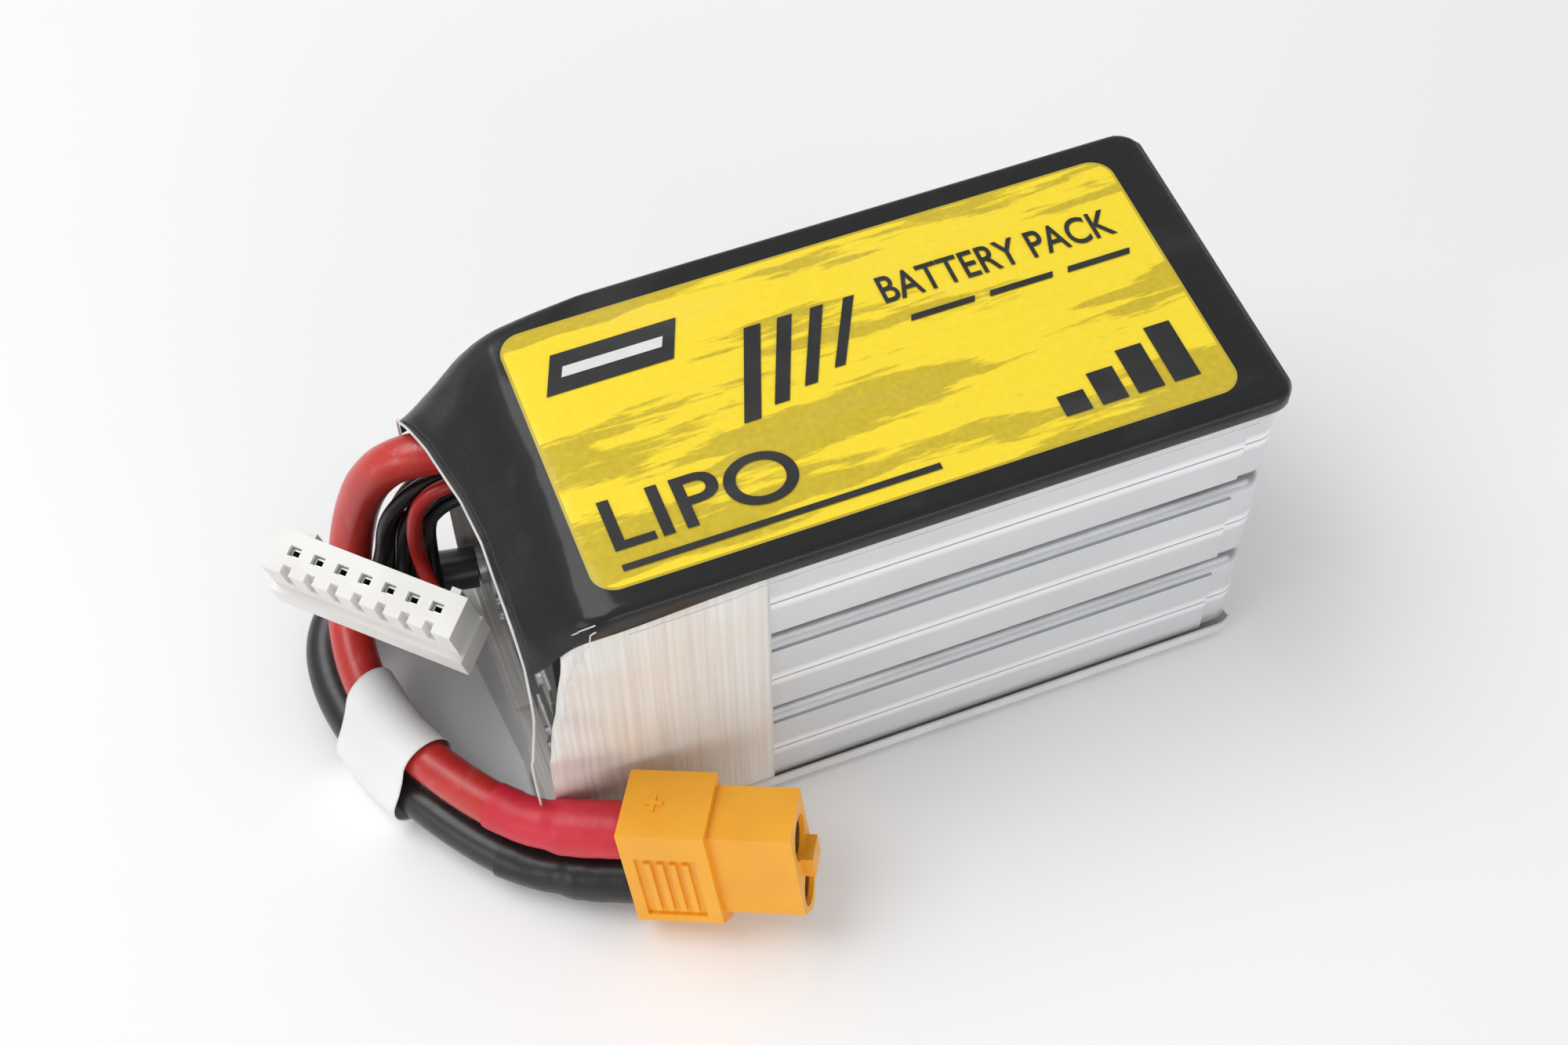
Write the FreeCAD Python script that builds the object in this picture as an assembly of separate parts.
import FreeCAD, Part
import math
import os

# A six-cell lithium polymer battery pack for a racing drone, in millimetres.
# +X runs along the pack to its plain end, -X is the wire end, +Z is up.
# The origin is under the middle of the pack, on the surface it lies on.

V = FreeCAD.Vector

# ---- pack envelope -------------------------------------------------------
PACK_LENGTH = 79.0
PACK_WIDTH = 37.0
PACK_HEIGHT = 42.0
FRONT = -PACK_LENGTH / 2
BACK = PACK_LENGTH / 2
HALF_WIDTH = PACK_WIDTH / 2
LAYER_GAP = 0.02

# ---- wrappings, from the outside in --------------------------------------
FILM = 0.20
SHEET = 0.25
TAPE = 0.18
EDGE_RADIUS = 1.2
END_RADIUS = 3.0
SHEET_INSET = FILM + LAYER_GAP
TAPE_INSET = SHEET_INSET + SHEET + LAYER_GAP
STACK_INSET = TAPE_INSET + TAPE + LAYER_GAP
TAPE_END = -13.9
LABEL_LIP = 2.3
SHEET_END_GAP = 1.1

# ---- hood over the wires ---------------------------------------------------
SHOULDER = -31.0
HOOD_START = -20.0
MOUTH_MID = -36.9
MOUTH_SLANT = 0.09
HOOD_TOP = 33.0
HOOD_NEAR_RADIUS = 12.0
HOOD_FAR_RADIUS = 5.0
SHOULDER_FAR_RADIUS = 3.4

# ---- cells -----------------------------------------------------------------
CELL_COUNT = 6
CELL_TAPE = 0.2
STACK_HEIGHT = PACK_HEIGHT - 2 * STACK_INSET
CELL_THICKNESS = (STACK_HEIGHT - (CELL_COUNT - 1) * CELL_TAPE) / CELL_COUNT
CELL_HALF_WIDTH = 17.4
CELL_FRONT = -27.0
CELL_BACK = 38.6
CELL_EDGE_RADIUS = 2.2
LAMINATE = 0.2
SEAL_THICKNESS = 0.3
SEAL_HEIGHT = 5.0
TERRACE_HALF_WIDTH = 16.0
TAB_WIDTH = 8.0
TAB_THICKNESS = 0.2
TAB_OFFSET = 8.4
TAB_LEG = 2.4

# ---- tab board -------------------------------------------------------------
BOARD_BACK = -33.2
BOARD_THICKNESS = 1.0
BOARD_FRONT = BOARD_BACK - BOARD_THICKNESS
BOARD_HALF_WIDTH = 15.5
BOARD_TOP = 34.6
BOARD_BOTTOM = 3.0
SLOT_HEIGHT = 1.2
SLOT_WIDTH = TAB_WIDTH + 0.6

# ---- main leads --------------------------------------------------------------
LEAD_DIAMETER = 4.5
SHRINK_INNER = 2.32
SHRINK_OUTER = 2.9
SHRINK_LENGTH = 14.5
CLEAR_INNER = 2.45
CLEAR_OUTER = 2.60
CLEAR_START = 3.0
WRAP_INNER = 2.88
WRAP_OUTER = 3.05
WRAP_STATIONS = [
    ((-49.95, 3.3, 8.0), (-52.25, 1.7, 3.08)),
    ((-49.25, -0.1, 7.95), (-51.4, -1.6, 3.08)),
    ((-48.3, -3.4, 7.98), (-50.2, -4.6, 3.08)),
    ((-46.8, -6.7, 8.15), (-48.7, -7.6, 3.08)),
]

# ---- balance wires and plug ----------------------------------------------------
WIRE_DIAMETER = 1.6
WIRE_COUNT = CELL_COUNT + 1
PIN_PITCH = 2.5
PLUG_HALF_LENGTH = 9.9
PLUG_TOP = 1.9
PLUG_BOTTOM = 2.4
PLUG_DEPTH = 9.8
PLUG_CENTRE = V(-47.5, 1.0, 31.0)
PLUG_ROW = V(0.721, -0.691, -0.052)
PLUG_DOWN = V(0.148, 0.227, -0.962)
WIRE_ENTRY = 2.0

# ---- power connector -------------------------------------------------------------
SHOULDER_LENGTH = 8.6
NOSE_LENGTH = 8.1
SHOULDER_WIDTH = 8.1
SHOULDER_HEIGHT = 15.9
NOSE_WIDTH = 6.5
NOSE_HEIGHT = 14.1
CHAMFER = 2.6
SOCKET_PITCH = 7.2
SOCKET_BORE = 1.75
SOCKET_OUTER = 2.25
SOCKET_RECESS = 0.4
SOCKET_DEPTH = 11.0
CUP_LENGTH = 4.0
CONNECTOR_ORIGIN = V(-30.1, -25.7, 0.35)
CONNECTOR_YAW = -28.5
CONNECTOR_PITCH = -8.7
CONNECTOR_ROLL = -9.7


# ---- small helpers ----------------------------------------------------------------
def save(name, shape):
    """Write one node's STEP file and say how large it is."""
    shape.exportStep("parts/%s.step" % name)
    box = shape.BoundBox
    print("%-26s solids %2d volume %9.2f  x %.2f..%.2f y %.2f..%.2f z %.2f..%.2f"
          % (name, len(shape.Solids), shape.Volume, box.XMin, box.XMax,
             box.YMin, box.YMax, box.ZMin, box.ZMax))


def block(x0, x1, y0, y1, z0, z1):
    return Part.makeBox(x1 - x0, y1 - y0, z1 - z0, V(x0, y0, z0))


def rod(radius, start, end):
    """A plain cylinder between two points."""
    along = end - start
    return Part.makeCylinder(radius, along.Length, start, along)


def prism_y(points, y0, y1):
    """A polygon in the XZ plane, extruded along Y."""
    corners = [V(x, y0, z) for x, z in points]
    face = Part.Face(Part.makePolygon(corners + corners[:1]))
    return face.extrude(V(0, y1 - y0, 0))


def prism_x(points, x0, x1):
    """A polygon in the YZ plane, extruded along X."""
    corners = [V(x0, y, z) for y, z in points]
    face = Part.Face(Part.makePolygon(corners + corners[:1]))
    return face.extrude(V(x1 - x0, 0, 0))


def fillet_where(shape, radius, chosen):
    """Round the edges for which chosen(edge) is true."""
    edges = [edge for edge in shape.Edges if chosen(edge)]
    return shape.makeFillet(radius, edges)


# ---- cord paths: straight runs joined by tangent arcs ----------------------------------
def cord_edges(points, name=""):
    """Edges of a route, with each arc as large as its two runs allow."""
    corners = [V(*point) for point in points]
    edges = []
    radii = []
    last = corners[0]
    for before, corner, after in zip(corners, corners[1:], corners[2:]):
        back = (before - corner).normalize()
        ahead = (after - corner).normalize()
        shorter = min((before - corner).Length, (after - corner).Length)
        half_turn = (math.pi - back.getAngle(ahead)) / 2
        trim = 0.45 * shorter
        radius = trim / math.tan(half_turn)
        middle = (back + ahead).normalize()
        centre = corner + middle * (radius / math.cos(half_turn))
        start = corner + back * trim
        end = corner + ahead * trim
        edges.append(Part.LineSegment(last, start).toShape())
        edges.append(Part.Arc(start, centre - middle * radius, end).toShape())
        radii.append(radius)
        last = end
    edges.append(Part.LineSegment(last, corners[-1]).toShape())
    if name:
        runs = [(b - a).Length for a, b in zip(corners, corners[1:])]
        print("%s radii %s" % (name, " ".join("%.1f" % r for r in radii)))
        print("%s runs  %s" % (name, " ".join("%.1f" % r for r in runs)))
    return edges


def sweep(edges, radius):
    """A solid round bar along connected edges."""
    path = Part.Wire(edges)
    first = edges[0]
    start = first.valueAt(first.FirstParameter)
    heading = first.tangentAt(first.FirstParameter)
    circle = Part.Wire(Part.Circle(start, heading, radius).toShape())
    return path.makePipeShell([circle], True, False)


def tube(edges, inner, outer):
    return sweep(edges, outer).cut(sweep(edges, inner))


def cord(name, points, diameter):
    """One free cord: its solid is checked against section times length."""
    edges = cord_edges(points, name)
    solid = sweep(edges, diameter / 2)
    length = sum(edge.Length for edge in edges)
    ratio = solid.Volume / (math.pi * diameter ** 2 / 4 * length)
    print("%s length %.1f volume ratio %.4f" % (name, length, ratio))
    save(name, solid)
    return edges


# ---- the pack's outer form ---------------------------------------------------------------
def ring(x, top, near_radius, far_radius, inset):
    """The pack's outline at x: four straight sides and four corner arcs."""
    half = HALF_WIDTH - inset
    low = inset
    high = top - inset
    radii = [max(r - inset, 0.3) for r in (EDGE_RADIUS, EDGE_RADIUS, far_radius, near_radius)]
    centres = [(-half + radii[0], low + radii[0]), (half - radii[1], low + radii[1]),
               (half - radii[2], high - radii[2]), (-half + radii[3], high - radii[3])]
    start_angles = (180, 270, 0, 90)
    arcs = []
    for (y, z), radius, angle in zip(centres, radii, start_angles):
        spots = []
        for step in (0, 45, 90):
            turn = math.radians(angle + step)
            spots.append(V(x, y + radius * math.cos(turn), z + radius * math.sin(turn)))
        arcs.append(Part.Arc(*spots).toShape())
    edges = []
    for index, arc in enumerate(arcs):
        following = arcs[(index + 1) % 4]
        edges.append(arc)
        edges.append(Part.LineSegment(arc.Vertexes[-1].Point,
                                      following.Vertexes[0].Point).toShape())
    return Part.Wire(edges)


def pack_form(inset, back=None):
    """The whole pack as one solid, with every face moved in by inset."""
    end = (BACK if back is None else back) - inset
    plain = ring(HOOD_START, PACK_HEIGHT, EDGE_RADIUS, EDGE_RADIUS, inset)
    shoulder = ring(SHOULDER, PACK_HEIGHT, EDGE_RADIUS, SHOULDER_FAR_RADIUS, inset)
    mouth_x = FRONT - 1.0
    mouth = ring(mouth_x, HOOD_TOP, HOOD_NEAR_RADIUS, HOOD_FAR_RADIUS, inset)
    body = Part.Face(plain).extrude(V(end - HOOD_START, 0, 0))
    upright = [edge for edge in body.Edges
               if abs(edge.BoundBox.XMin - end) < 0.01
               and edge.BoundBox.ZLength > PACK_HEIGHT / 2]
    body = body.makeFillet(max(END_RADIUS - inset, 0.5), upright)
    drawn_in = Part.makeLoft([plain, shoulder], True, True)
    hood = Part.makeLoft([shoulder, mouth], True, True)
    return body.fuse([drawn_in, hood])


def mouth_cut():
    """Everything in front of the slanted mouth of the hood."""
    reach = PACK_WIDTH
    near_x = MOUTH_MID + MOUTH_SLANT * (reach - 9.0)
    far_x = MOUTH_MID - MOUTH_SLANT * (reach + 9.0)
    points = [V(near_x, -reach, -1), V(far_x, reach, -1),
              V(FRONT - 5, reach, -1), V(FRONT - 5, -reach, -1)]
    face = Part.Face(Part.makePolygon(points + points[:1]))
    return face.extrude(V(0, 0, PACK_HEIGHT + 2))


def layer(outer_inset, inner_inset):
    """A wrapping as thick as the gap between two insets, open at the mouth."""
    return pack_form(outer_inset).cut(pack_form(inner_inset)).cut(mouth_cut())


def shrink_film():
    return layer(0.0, FILM)


def label_sheet():
    """Printed sheet over the top, with a lip down each side and the hood."""
    lip = PACK_HEIGHT - LABEL_LIP
    outline = [(FRONT - 2, 24.0), (SHOULDER, 36.0), (TAPE_END, lip), (BACK + 1, lip),
               (BACK + 1, PACK_HEIGHT + 1), (FRONT - 2, PACK_HEIGHT + 1)]
    region = prism_y(outline, -PACK_WIDTH, PACK_WIDTH)
    end_cap = block(BACK - SHEET_END_GAP, BACK + 1, -PACK_WIDTH, PACK_WIDTH, 0, PACK_HEIGHT)
    return layer(SHEET_INSET, SHEET_INSET + SHEET).common(region).cut(end_cap)


def bottom_sheet():
    """Plain sheet under the pack, with a short lip up each side."""
    region = block(FRONT, BACK - SHEET_END_GAP, -PACK_WIDTH, PACK_WIDTH, -1, LABEL_LIP)
    return layer(SHEET_INSET, SHEET_INSET + SHEET).common(region)


def filament_tape():
    """Glass-thread strapping tape round the wire end of the stack."""
    outline = [(TAPE_END, -1.0), (TAPE_END, PACK_HEIGHT + 1), (-31.8, PACK_HEIGHT + 1),
               (-32.2, 40.0), (-35.2, 30.0), (-36.4, 20.0), (-36.2, -1.0)]
    region = prism_y(outline, -PACK_WIDTH, PACK_WIDTH)
    return layer(TAPE_INSET, TAPE_INSET + TAPE).common(region)


# ---- cells ---------------------------------------------------------------------------
def cell_floor(index):
    return STACK_INSET + index * (CELL_THICKNESS + CELL_TAPE)


def seal_is_low(index):
    """Cells are stacked in pairs, seal to seal."""
    return index % 2 == 1


def seal_level(index):
    if seal_is_low(index):
        return cell_floor(index)
    return cell_floor(index) + CELL_THICKNESS - SEAL_THICKNESS


def cell_form(index, inset):
    """The rounded cup of a pouch, with all faces moved in by inset."""
    floor = cell_floor(index) + inset
    roof = cell_floor(index) + CELL_THICKNESS - inset
    half = CELL_HALF_WIDTH - inset
    solid = block(CELL_FRONT + inset, CELL_BACK - inset, -half, half, floor, roof)
    radius = CELL_EDGE_RADIUS - inset
    solid = fillet_where(solid, radius, lambda e: e.BoundBox.ZLength > 1)
    cup_z = roof if seal_is_low(index) else floor
    return fillet_where(solid, radius - 0.2,
                        lambda e: e.BoundBox.ZLength < 0.01 and abs(e.BoundBox.ZMin - cup_z) < 0.01)


def pouch(index):
    """Laminate pouch: hollow cup, front terrace and seals folded up its sides."""
    level = seal_level(index)
    terrace = block(SHOULDER, CELL_FRONT + 1, -TERRACE_HALF_WIDTH, TERRACE_HALF_WIDTH,
                    level, level + SEAL_THICKNESS)
    seal_low = level if seal_is_low(index) else level + SEAL_THICKNESS - SEAL_HEIGHT
    seals = []
    for side in (-1, 1):
        inner = side * (CELL_HALF_WIDTH - 0.1)
        outer = side * (CELL_HALF_WIDTH + SEAL_THICKNESS)
        seals.append(block(CELL_FRONT + 3, CELL_BACK - 4, min(inner, outer), max(inner, outer),
                           seal_low, seal_low + SEAL_HEIGHT))
    shell = cell_form(index, 0.0).fuse([terrace] + seals)
    return shell.cut(cell_form(index, LAMINATE))


def electrode_stack(index):
    return cell_form(index, LAMINATE + 0.1)


def cell_tape(index):
    """Double-sided tape between a cell and the next one up."""
    low = cell_floor(index) + CELL_THICKNESS
    return block(-20, 32, -12.5, 12.5, low, low + CELL_TAPE)


def pair_levels():
    """Heights at which a pair's seals meet, one for each two cells."""
    levels = []
    for index in range(0, CELL_COUNT, 2):
        levels.append(cell_floor(index) + CELL_THICKNESS + CELL_TAPE / 2)
    return levels


def tab(index, side):
    """A flat tab through the board, with its end folded along the board."""
    level = seal_level(index)
    low = level + (SEAL_THICKNESS - TAB_THICKNESS) / 2
    y0 = side * TAB_OFFSET - TAB_WIDTH / 2
    y1 = y0 + TAB_WIDTH
    strip = block(BOARD_FRONT - TAB_THICKNESS, SHOULDER, y0, y1, low, low + TAB_THICKNESS)
    if seal_is_low(index):
        leg = block(BOARD_FRONT - TAB_THICKNESS, BOARD_FRONT, y0, y1, low, low + TAB_LEG)
    else:
        leg = block(BOARD_FRONT - TAB_THICKNESS, BOARD_FRONT, y0, y1,
                    low + TAB_THICKNESS - TAB_LEG, low + TAB_THICKNESS)
    return strip.fuse(leg).removeSplitter()


def tabs(positive):
    """All six tabs of one polarity; the sides alternate up the stack."""
    pieces = []
    for index in range(CELL_COUNT):
        side = 1 if index % 2 == 0 else -1
        pieces.append(tab(index, side if positive else -side))
    return Part.Compound(pieces)


def slots(x0, x1, height):
    """The openings that the tabs pass through."""
    pieces = []
    for level in pair_levels():
        for side in (-1, 1):
            y0 = side * TAB_OFFSET - SLOT_WIDTH / 2
            pieces.append(block(x0, x1, y0, y0 + SLOT_WIDTH, level - height / 2, level + height / 2))
    return pieces


def tab_board():
    board = block(BOARD_FRONT, BOARD_BACK, -BOARD_HALF_WIDTH, BOARD_HALF_WIDTH,
                  BOARD_BOTTOM, BOARD_TOP)
    return board.cut(slots(BOARD_FRONT - 1, BOARD_BACK + 1, SLOT_HEIGHT))


def foam_spacer():
    """Black foam between the cell terraces and the board."""
    pad = block(BOARD_BACK, SHOULDER - 0.05, -BOARD_HALF_WIDTH, BOARD_HALF_WIDTH,
                BOARD_BOTTOM, BOARD_TOP)
    return pad.cut(slots(BOARD_BACK - 1, SHOULDER + 1, SLOT_HEIGHT + 0.4))


def solder_joints():
    """Solder on each pair of folded tabs and behind each wire end."""
    pieces = []
    face_x = BOARD_FRONT - TAB_THICKNESS
    for level in pair_levels():
        for side in (-1, 1):
            for shift in (-1.5, 1.5):
                spot = V(face_x, side * TAB_OFFSET, level + shift)
                pieces.append(rod(0.8, spot, spot - V(0.35, 0, 0)))
    for route in (RED_ROUTE, BLACK_ROUTE):
        end = V(*route[0])
        pieces.append(rod(2.0, V(BOARD_FRONT, end.y, end.z), V(end.x + 0.02, end.y, end.z)))
    for index in range(WIRE_COUNT):
        end = V(*WIRE_ROUTES[index][0])
        pieces.append(rod(0.65, V(BOARD_FRONT, end.y, end.z), V(end.x + 0.02, end.y, end.z)))
    return Part.Compound(pieces)


# ---- power connector -------------------------------------------------------------------
def connector_placement():
    turn = FreeCAD.Rotation(V(0, 0, 1), CONNECTOR_YAW)
    turn = turn.multiply(FreeCAD.Rotation(V(0, 1, 0), CONNECTOR_PITCH))
    turn = turn.multiply(FreeCAD.Rotation(V(1, 0, 0), CONNECTOR_ROLL))
    return FreeCAD.Placement(CONNECTOR_ORIGIN, turn)


def connector_point(x, y, z):
    """A point of the connector, given along its own length, width and height."""
    return connector_placement().multVec(V(x, y, z))


def place_connector(shape):
    shape.Placement = connector_placement()
    return shape


def connector_outline(width, height):
    """Flat on the plus side, with both corners cut on the minus side."""
    half = width / 2
    low = (SHOULDER_HEIGHT - height) / 2
    high = low + height
    return [(-half + CHAMFER, low), (half - CHAMFER, low), (half, low + CHAMFER),
            (half, high), (-half, high), (-half, low + CHAMFER)]


def socket_height(sign):
    return SHOULDER_HEIGHT / 2 + sign * SOCKET_PITCH / 2


def plus_mark(length, width, depth):
    """A small raised plus on the flat end."""
    top = SHOULDER_HEIGHT
    bar = block(2.0, 2.0 + length, -width / 2, width / 2, top - 0.2, top + depth)
    cross = block(2.0 + (length - width) / 2, 2.0 + (length + width) / 2,
                  -length / 2, length / 2, top - 0.2, top + depth)
    return [bar, cross]


def grip_recess(side):
    """Shallow pocket in a broad face; the bars left standing in it are the grip."""
    half = SHOULDER_WIDTH / 2
    pocket = block(1.2, 7.2, half - 0.35, half + 1, 3.6, 12.4)
    bars = []
    for index in range(4):
        x0 = 2.1 + index * 1.25
        bars.append(block(x0, x0 + 0.6, half - 0.4, half + 1, 4.3, 11.7))
    pocket = pocket.cut(bars)
    if side < 0:
        pocket = pocket.mirror(V(0, 0, 0), V(0, 1, 0))
    return pocket


def connector_housing():
    total = SHOULDER_LENGTH + NOSE_LENGTH
    rear = prism_x(connector_outline(SHOULDER_WIDTH, SHOULDER_HEIGHT), 0, SHOULDER_LENGTH)
    nose = prism_x(connector_outline(NOSE_WIDTH, NOSE_HEIGHT), SHOULDER_LENGTH, total)
    key_z = SHOULDER_HEIGHT / 2
    key = block(total - 1, total + 1.1, -0.9, 2.2, key_z - 1.3, key_z + 1.3)
    body = rear.fuse([nose, key] + plus_mark(2.0, 0.45, 0.2))
    holes = []
    for sign in (-1, 1):
        z = socket_height(sign)
        holes.append(rod(SOCKET_OUTER + 0.03, V(-1, 0, z), V(total + 2, 0, z)))
    cuts = holes + [grip_recess(-1), grip_recess(1)]
    return place_connector(body.cut(cuts).removeSplitter())


def socket(sign):
    """Gold-plated socket with a solder cup behind the housing."""
    z = socket_height(sign)
    front = SHOULDER_LENGTH + NOSE_LENGTH - SOCKET_RECESS
    body = rod(SOCKET_OUTER, V(-CUP_LENGTH, 0, z), V(front, 0, z))
    bore = rod(SOCKET_BORE, V(front - SOCKET_DEPTH, 0, z), V(front + 1, 0, z))
    return place_connector(body.cut(bore))


# ---- balance plug ------------------------------------------------------------------------
def plug_placement():
    """Local X runs along the row of pins, local -Z is the way the wires leave."""
    up = PLUG_DOWN * -1
    turn = FreeCAD.Rotation(PLUG_ROW, up.cross(PLUG_ROW), up, "ZXY")
    return FreeCAD.Placement(PLUG_CENTRE, turn)


def place_plug(shape):
    shape.Placement = plug_placement()
    return shape


def pin_offset(index):
    return (index - (WIRE_COUNT - 1) / 2) * PIN_PITCH


def balance_housing():
    length = PLUG_HALF_LENGTH
    body = block(-length, length, -PLUG_BOTTOM, PLUG_TOP, -PLUG_DEPTH, 0)
    flange = block(-length - 0.4, length + 0.4, -PLUG_BOTTOM - 0.7, PLUG_TOP,
                   -PLUG_DEPTH, -PLUG_DEPTH + 4.2)
    ribs = [block(x - 0.5, x + 0.5, PLUG_TOP - 0.1, PLUG_TOP + 0.6, -7.5, -0.4)
            for x in (-6.9, 8.4)]
    body = body.fuse([flange] + ribs)
    cuts = []
    for index in range(WIRE_COUNT):
        x = pin_offset(index)
        cuts.append(block(x - 0.6, x + 0.6, -0.5, 0.5, -8, 1))
        cuts.append(rod(WIRE_DIAMETER / 2 + 0.1, V(x, 0, -PLUG_DEPTH - 1), V(x, 0, -5.5)))
        cuts.append(block(x - 0.45, x + 0.45, -PLUG_BOTTOM - 1, -PLUG_BOTTOM + 0.9, -3.2, 1))
    return place_plug(body.cut(cuts).removeSplitter())


def balance_contacts():
    """Seven crimp contacts, each a small box sleeve in its own cavity."""
    pieces = []
    for index in range(WIRE_COUNT):
        x = pin_offset(index)
        sleeve = block(x - 0.55, x + 0.55, -0.45, 0.45, -PLUG_DEPTH + WIRE_ENTRY + 0.05, -0.8)
        hole = block(x - 0.35, x + 0.35, -0.27, 0.27, -5.5, 0)
        pieces.append(sleeve.cut(hole))
    return place_plug(Part.Compound(pieces))


# ---- routes -------------------------------------------------------------------------------
RED_ROUTE = [
    (-35.2, 13.8, 29.2), (-38.5, 14.6, 29.2), (-41.5, 15.8, 27.6), (-43.8, 16.9, 24.3),
    (-45.4, 17.6, 20.0), (-46.9, 17.1, 15.6), (-48.5, 14.8, 11.8), (-49.8, 10.8, 9.3),
    (-50.3, 6.0, 8.2), (-49.6, 0.8, 7.9), (-47.7, -4.6, 8.0), (-45.0, -9.8, 8.4),
    (-41.9, -14.6, 9.1), (-38.5, -18.92, 10.24), (-34.18, -21.27, 11.0),
]
BLACK_ROUTE = [
    (-35.2, 14.8, 6.8), (-38.7, 15.3, 7.0), (-42.6, 16.4, 6.9), (-46.6, 17.3, 6.0),
    (-50.2, 16.4, 4.8), (-52.6, 13.4, 3.8), (-53.3, 9.0, 3.2), (-52.7, 4.0, 3.1),
    (-51.2, -1.4, 3.1), (-48.9, -6.8, 3.1), (-45.8, -12.0, 3.0), (-42.2, -16.9, 3.0),
    (-38.14, -20.5, 3.23), (-33.82, -22.85, 3.98),
]
WIRE_ROUTES = [
    [(-35.0, 14.5, 24.6), (-38.1, 14.5, 24.7), (-41.3, 14.0, 23.5), (-43.6, 13.9, 20.6),
     (-44.4, 13.9, 15.7), (-46.1, 12.5, 13.6), (-48.6, 10.8, 13.6), (-50.4, 9.8, 15.8),
     (-50.9, 9.0, 19.4), (-51.75, 7.95, 23.87)],
    [(-35.0, 16.3, 23.2), (-37.6, 16.3, 23.3), (-40.2, 16.1, 22.2), (-42.2, 15.8, 19.4),
     (-43.0, 15.6, 14.0), (-44.6, 13.6, 11.3), (-46.7, 10.7, 11.3), (-48.4, 8.7, 14.0),
     (-49.1, 7.5, 18.4), (-49.95, 6.22, 23.74)],
    [(-35.0, 14.5, 22.6), (-37.4, 14.5, 22.7), (-40.0, 14.2, 21.5), (-41.9, 13.8, 18.6),
     (-42.6, 13.5, 13.9), (-43.8, 11.5, 11.5), (-45.5, 8.6, 11.5), (-46.7, 6.8, 13.8),
     (-47.3, 5.7, 18.1), (-48.15, 4.5, 23.61)],
    [(-35.0, 16.3, 20.9), (-37.0, 16.3, 20.9), (-39.2, 16.1, 19.7), (-40.8, 15.8, 16.9),
     (-41.4, 15.5, 12.0), (-42.5, 12.5, 8.8), (-43.8, 8.4, 8.8), (-44.6, 5.5, 12.0),
     (-45.3, 4.3, 17.2), (-46.35, 2.77, 23.48)],
    [(-35.0, 14.4, 20.3), (-36.8, 14.4, 20.3), (-39.0, 14.1, 19.0), (-40.3, 13.8, 16.7),
     (-40.8, 13.5, 13.1), (-41.5, 10.5, 10.1), (-42.4, 6.3, 10.1), (-43.0, 3.4, 13.1),
     (-43.7, 2.2, 17.8), (-44.54, 1.04, 23.36)],
    [(-35.0, 16.2, 18.3), (-36.5, 16.2, 18.3), (-38.3, 16.0, 17.2), (-39.2, 15.7, 15.2),
     (-39.5, 15.2, 12.3), (-40.1, 12.4, 9.0), (-40.7, 6.2, 8.2), (-41.2, 2.0, 11.8),
     (-41.7, 0.7, 17.0), (-42.74, -0.68, 23.23)],
    [(-35.0, 12.6, 25.3), (-37.6, 12.7, 25.4), (-40.0, 12.4, 24.0), (-41.1, 11.9, 20.8),
     (-41.2, 11.4, 15.7), (-40.5, 8.1, 12.6), (-39.7, 3.3, 12.7), (-39.4, -0.6, 15.8),
     (-40.1, -1.5, 19.4), (-40.94, -2.41, 23.1)],
]


def stretch(edges, start, end):
    """The part of a path that lies between two distances along it."""
    chosen = []
    passed = 0.0
    for edge in edges:
        first = edge.FirstParameter
        last = edge.LastParameter
        begins = max(start - passed, 0.0)
        stops = min(end - passed, edge.Length)
        if stops > begins + 0.001:
            low = edge.getParameterByLength(begins) if begins > 0 else first
            high = edge.getParameterByLength(stops) if stops < edge.Length else last
            chosen.append(edge.Curve.toShape(low, high))
        passed += edge.Length
    return chosen


def lead_path(route, sign):
    """A lead's path, taken on over its solder cup to the connector's rear face."""
    edges = cord_edges(route)
    rear = connector_point(0, 0, socket_height(sign))
    edges.append(Part.LineSegment(V(*route[-1]), rear).toShape())
    return edges


def shrink_sleeve(route, sign):
    """Heat-shrink over the last of a lead and its solder cup."""
    edges = lead_path(route, sign)
    total = sum(edge.Length for edge in edges)
    return tube(stretch(edges, total - SHRINK_LENGTH, total), SHRINK_INNER, SHRINK_OUTER)


def clear_sleeve():
    """Loose clear tube over the red lead, from the hood to the heat-shrink."""
    edges = lead_path(RED_ROUTE, 1)
    total = sum(edge.Length for edge in edges)
    return tube(stretch(edges, CLEAR_START, total - SHRINK_LENGTH - 1.0), CLEAR_INNER, CLEAR_OUTER)


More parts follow.
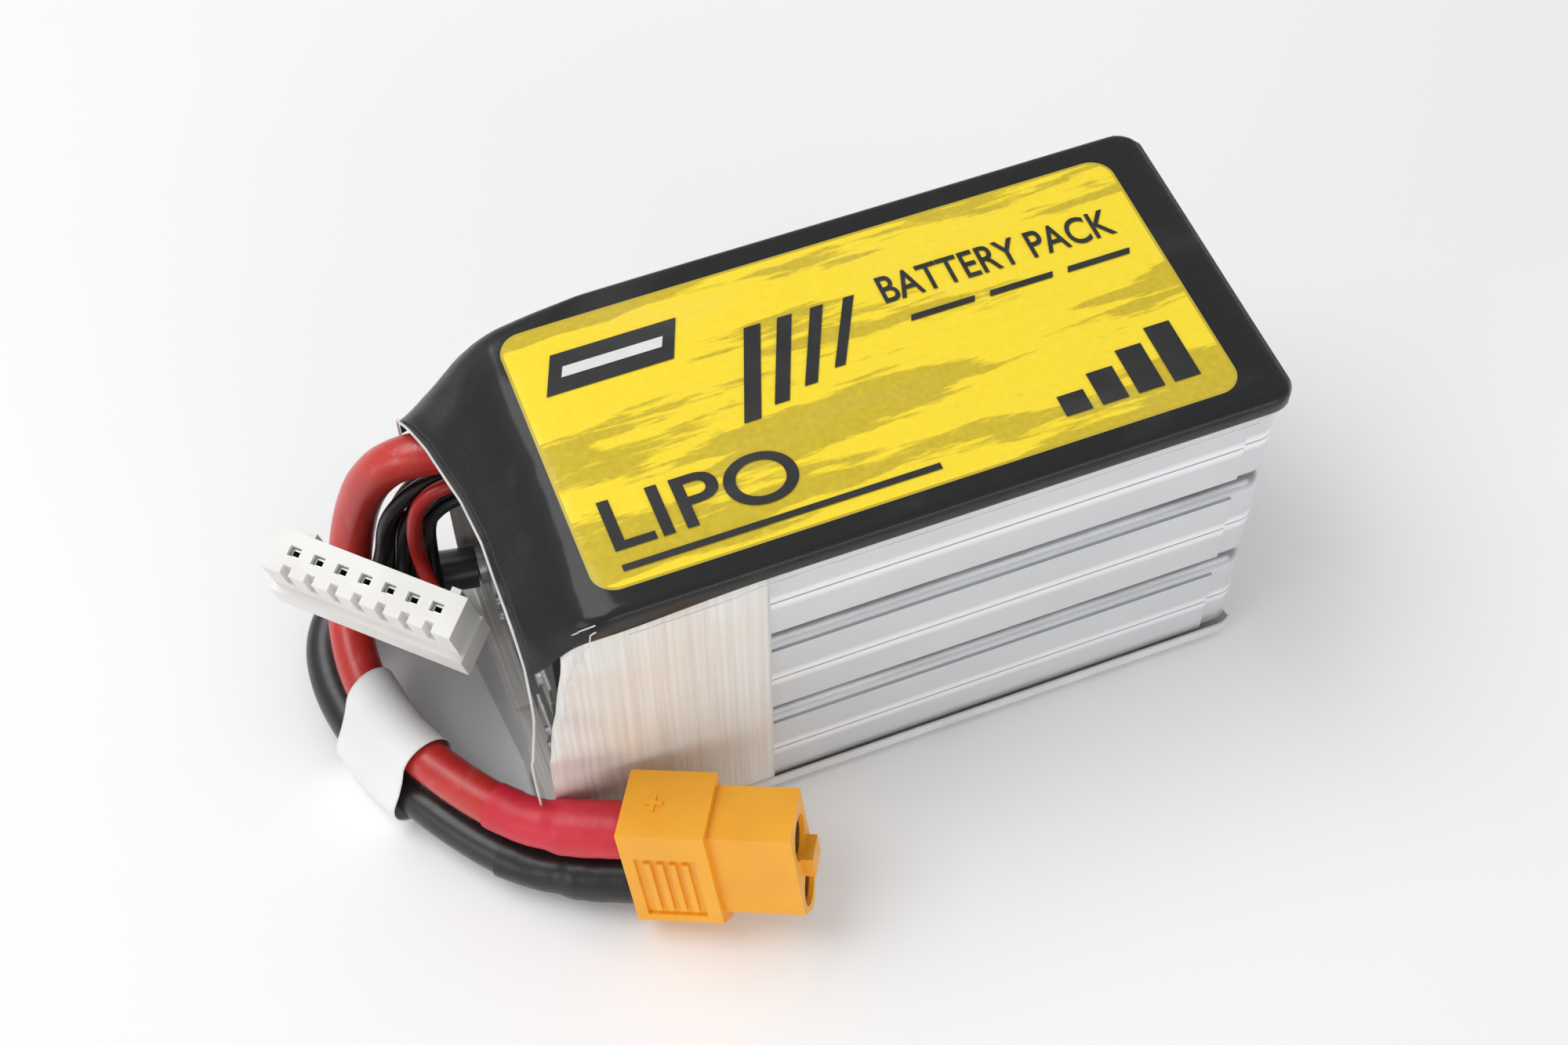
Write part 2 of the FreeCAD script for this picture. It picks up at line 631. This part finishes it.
def stadium(red, black, radius):
    """A closed band outline round two lead centres, square to the leads."""
    apart = (red - black).normalize()
    heading = (V(*RED_ROUTE[10]) - V(*RED_ROUTE[9])).normalize()
    side = apart.cross(heading).normalize()
    upper = Part.Arc(red + side * radius, red + apart * radius, red - side * radius)
    lower = Part.Arc(black - side * radius, black - apart * radius, black + side * radius)
    left = Part.LineSegment(red - side * radius, black - side * radius)
    right = Part.LineSegment(black + side * radius, red + side * radius)
    return Part.Wire([upper.toShape(), left.toShape(), lower.toShape(), right.toShape()])


def lead_wrap():
    """Paper label wrapped once round both leads."""
    skins = []
    for radius in (WRAP_OUTER, WRAP_INNER):
        outlines = [stadium(V(*red), V(*black), radius) for red, black in WRAP_STATIONS]
        skins.append(Part.makeLoft(outlines, True, True))
    return skins[0].cut(skins[1])


def main():
    save("shrink_film", shrink_film())
    save("top_label_sheet", label_sheet())
    save("bottom_sheet", bottom_sheet())
    save("filament_tape", filament_tape())
    for index in range(CELL_COUNT):
        save("pouch_%d" % (index + 1), pouch(index))
        save("electrode_stack_%d" % (index + 1), electrode_stack(index))
    for index in range(CELL_COUNT - 1):
        save("cell_tape_%d" % (index + 1), cell_tape(index))
    save("positive_tabs", tabs(True))
    save("negative_tabs", tabs(False))
    save("tab_board", tab_board())
    save("foam_spacer", foam_spacer())
    save("solder_joints", solder_joints())
    save("connector_housing", connector_housing())
    save("socket_positive", socket(1))
    save("socket_negative", socket(-1))
    save("balance_housing", balance_housing())
    save("balance_contacts", balance_contacts())
    cord("lead_positive", RED_ROUTE, LEAD_DIAMETER)
    cord("lead_negative", BLACK_ROUTE, LEAD_DIAMETER)
    save("shrink_sleeve_red", shrink_sleeve(RED_ROUTE, 1))
    save("shrink_sleeve_black", shrink_sleeve(BLACK_ROUTE, -1))
    save("clear_sleeve", clear_sleeve())
    save("lead_wrap", lead_wrap())
    for index, route in enumerate(WIRE_ROUTES):
        cord("balance_wire_%d" % (index + 1), route, WIRE_DIAMETER)


if __name__ == "__main__":
    main()
